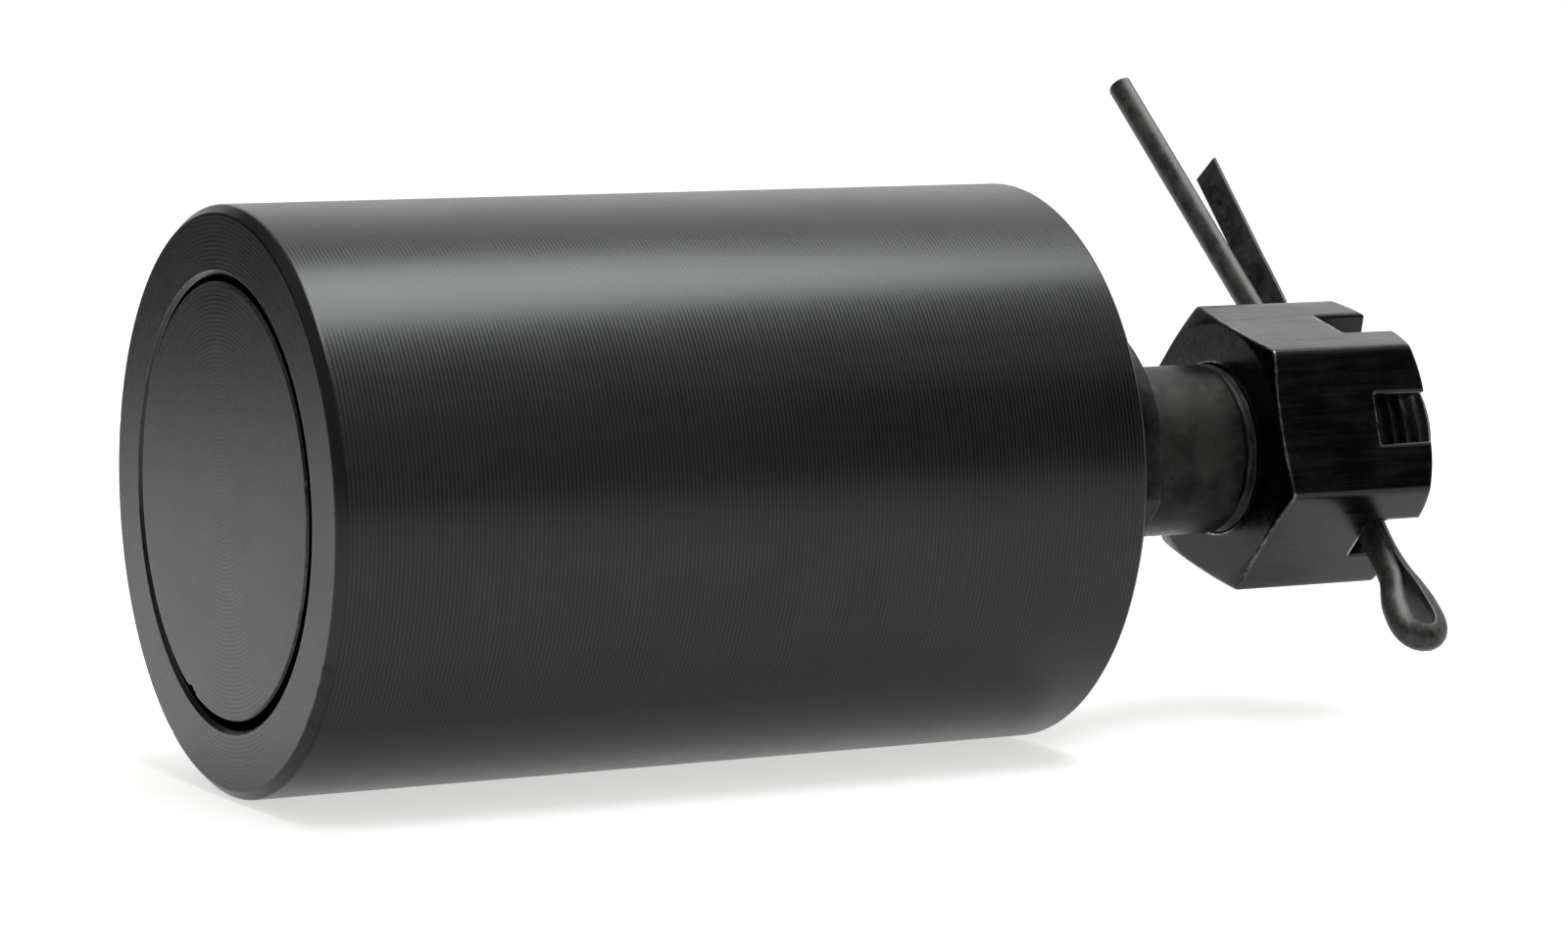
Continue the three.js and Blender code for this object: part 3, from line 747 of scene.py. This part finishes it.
def pin_shape(section, along, from_tip, is_short):
    """The section at one place: smaller at a tip, thicker in the eye and twisted on the short leg."""
    middle = np.array([0.55, 0.0])
    shrink = {0: 0.9, 1: 0.97}.get(from_tip, 1.0)
    shape = middle + (section - middle) * shrink
    in_eye = np.clip((-(NUT_APOTHEM + 5.2) - along) / 3.0, 0, 1)
    shape = shape * np.array([1 + 0.28 * in_eye, 1.0])
    if is_short:
        twist = SHORT_LEG_TWIST * np.clip((along - STUD_RADIUS - 0.5) / 5.0, 0, 1)
        c, s = math.cos(twist), math.sin(twist)
        shape = middle + (shape - middle) @ np.array([[c, s], [-s, c]])
    return shape


def pin_rings(line, section):
    """One ring of vertices for each point of the line, with slanted cuts at both tips."""
    travel = np.gradient(line, axis=0)
    travel /= np.linalg.norm(travel, axis=1)[:, None]
    outward = np.stack([-travel[:, 1], travel[:, 0]], axis=1)
    long_slant, short_slant, slant_steps = 0.2, -0.75, 6
    last = len(line) - 1
    rings = []
    for i, (along, across) in enumerate(line):
        from_tip = min(i, last - i)
        shape = pin_shape(section, along, from_tip, i > last / 2)
        near_end = max(0.0, 1 - from_tip / slant_steps)
        slant = (long_slant if i < last / 2 else short_slant) * near_end
        push = slant * (PIN_RADIUS - shape[:, 0])
        a = along + outward[i, 0] * shape[:, 0] + travel[i, 0] * push
        c = across + outward[i, 1] * shape[:, 0] + travel[i, 1] * push
        rings.append(np.stack([c, a, shape[:, 1]], axis=1))
    return np.concatenate(rings)


def build_pin():
    line = smooth_line(pin_points(), 0.35)
    section = pin_section()
    vertices = pin_rings(line, section)
    size, last = len(section), len(line) - 1
    faces = []
    for i in range(last):
        for k in range(size):
            n = (k + 1) % size
            faces.append((i * size + k, i * size + n, (i + 1) * size + n, (i + 1) * size + k))
    faces += [tuple(range(size)), tuple(last * size + k for k in reversed(range(size)))]
    c, s = math.cos(-PIN_TILT), math.sin(-PIN_TILT)
    tilted = np.stack([vertices[:, 0] * c - vertices[:, 1] * s, vertices[:, 0] * s + vertices[:, 1] * c,
                       vertices[:, 2]], axis=1)
    add_piece("bent_pin", turn_to_nut(tilted), faces, looks["pin_steel"], "stud_assembly",
              ["split_pin"], sharp=55)


build_shell()
build_cap()
build_o_ring()
build_seal()
build_bearing("front", FRONT_BEARING, "front_ball_set")
build_bearing("rear", REAR_BEARING, "rear_ball_set")
build_stud()
build_nut()
build_pin()

# ---- Hidden pieces that keep their CAD shape -----------------------------------------------------

slot_words = (("cage", "cage_brass"), ("shield", "shield_steel"), ("retaining_ring", "spring_steel"),
              ("spacer", "spacer_steel"))
for name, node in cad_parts.items():
    for word, slot in slot_words:
        if word in name:
            node.data.materials.clear()
            node.data.materials.append(looks[slot])
            node.data.polygons.foreach_set("use_smooth", [True] * len(node.data.polygons))
            node.data.set_sharp_from_angle(angle=math.radians(35))
            break

# ---- Floor, light and camera ---------------------------------------------------------------------


def build_floor():
    half, gap = 20.0, 0.0001
    low = -ROLLER_RADIUS * MM - gap
    mesh = bpy.data.meshes.new("floor")
    mesh.from_pydata([(-half, -half, low), (half, -half, low), (half, half, low), (-half, half, low)], [],
                     [(0, 1, 2, 3)])
    floor = bpy.data.objects.new("floor", mesh)
    bpy.context.scene.collection.objects.link(floor)
    material = bpy.data.materials.new("pale_floor")
    material.use_nodes = True
    shader = material.node_tree.nodes["Principled BSDF"]
    shader.inputs["Base Color"].default_value = grey(0.48)
    shader.inputs["Emission Color"].default_value = grey(1.0, (1.0, 1.0, 0.985))
    shader.inputs["Emission Strength"].default_value = 0.62
    shader.inputs["Roughness"].default_value = 0.9
    shader.inputs["Specular IOR Level"].default_value = 0.1
    mesh.materials.append(material)


def add_area_light(name, place, aim, size, power):
    data = bpy.data.lights.new(name, "AREA")
    data.shape = "RECTANGLE"
    data.size, data.size_y = size
    data.energy = power
    lamp = bpy.data.objects.new(name, data)
    lamp.location = place
    lamp.rotation_mode = "QUATERNION"
    lamp.rotation_quaternion = (Vector(aim) - Vector(place)).to_track_quat("-Z", "Y")
    bpy.context.scene.collection.objects.link(lamp)


def add_card(name, ends, heights):
    """A black card that is seen only in reflections, as a photographer's flag is kept out of view."""
    (x0, y0), (x1, y1) = ends
    low, high = heights
    mesh = bpy.data.meshes.new(name)
    mesh.from_pydata([(x0, y0, low), (x1, y1, low), (x1, y1, high), (x0, y0, high)], [], [(0, 1, 2, 3)])
    card = bpy.data.objects.new(name, mesh)
    bpy.context.scene.collection.objects.link(card)
    material = bpy.data.materials.new(name)
    material.use_nodes = True
    shader = material.node_tree.nodes["Principled BSDF"]
    shader.inputs["Base Color"].default_value = grey(0.03)
    shader.inputs["Roughness"].default_value = 0.9
    mesh.materials.append(material)
    card.visible_camera = False
    card.visible_shadow = False
    card.visible_diffuse = False


def build_world():
    """A studio that is bright behind the object and darker on the side that the object faces."""
    world = bpy.data.worlds.new("studio")
    world.use_nodes = True
    bpy.context.scene.world = world
    tree = world.node_tree
    background = tree.nodes["Background"]
    way = add_node(tree, "TexCoord").outputs["Generated"]
    split = add_node(tree, "SeparateXYZ", {0: way}).outputs
    behind = remap(tree, split[1], -0.4, 0.5, 0.75, 1.2)
    side = remap(tree, split[0], -0.8, 0.7, 0.4, 1.0)
    height = remap(tree, split[2], -0.1, 0.6, 0.6, 1.2)
    level = maths(tree, "MULTIPLY", maths(tree, "MULTIPLY", behind, side), height)
    shown = add_node(tree, "LightPath").outputs["Is Camera Ray"]
    strength = add_node(tree, "Mix", {0: shown, 2: level, 3: 1.0}).outputs[0]
    background.inputs["Color"].default_value = grey(1.0)
    tree.links.new(strength, background.inputs["Strength"])


def build_camera():
    data = bpy.data.cameras.new("camera")
    data.sensor_width = 36.0
    data.lens = 117.96
    data.clip_start, data.clip_end = 0.01, 100.0
    distance = 0.467986
    camera = bpy.data.objects.new("camera", data)
    azimuth, elevation = math.radians(-27.993), math.radians(5.995)
    back = Vector((math.sin(azimuth) * math.cos(elevation), -math.cos(azimuth) * math.cos(elevation),
                   math.sin(elevation)))
    aim = Vector((-0.02976, 0.004791, -0.000547))
    camera.location = aim + back * distance
    camera.rotation_mode = "QUATERNION"
    camera.rotation_quaternion = back.to_track_quat("Z", "Y")
    bpy.context.scene.collection.objects.link(camera)
    bpy.context.scene.camera = camera


build_floor()
build_world()
add_area_light("overhead", (0.06, -0.105, 0.6), (-0.015, -0.011, 0.0), (0.62, 0.25), 5.5)
add_card("left_card", [(-0.55, 0.27), (-0.12, 0.27)], (-0.02, 0.35))
add_card("right_card", [(0.16, -0.35), (0.6, -0.35)], (0.0, 0.3))
build_camera()
bpy.context.scene.view_settings.view_transform = "Standard"
